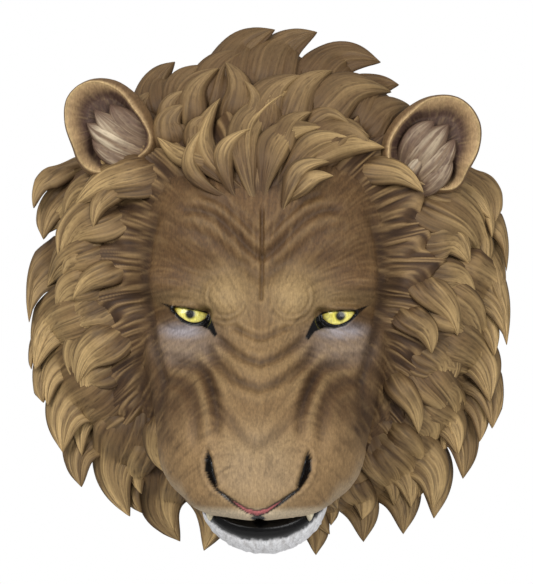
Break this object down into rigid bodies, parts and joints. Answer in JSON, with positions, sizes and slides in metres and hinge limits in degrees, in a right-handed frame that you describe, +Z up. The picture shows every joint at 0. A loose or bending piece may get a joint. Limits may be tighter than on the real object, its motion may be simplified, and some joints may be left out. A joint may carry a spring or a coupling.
{
  "type": "lion head wall mask",
  "caption": "Wall mask of a lion's head with a full layered mane, round ears and yellow eyes, cast hollow with a flat back and a keyhole to hang it by.",
  "frame": {"origin": "on the flat back, on its middle line between the top of the hollow and the keyhole", "axes": "+Y out of the flat back into the wall, +Z up, the face looks along -Y"},
  "size_m": [0.3733, 0.186, 0.402],
  "materials": {
    "painted_resin": "matte"
  },
  "bodies": {
    "root": {"lion_head_mask": "painted_resin"}
  },
  "joints": []
}
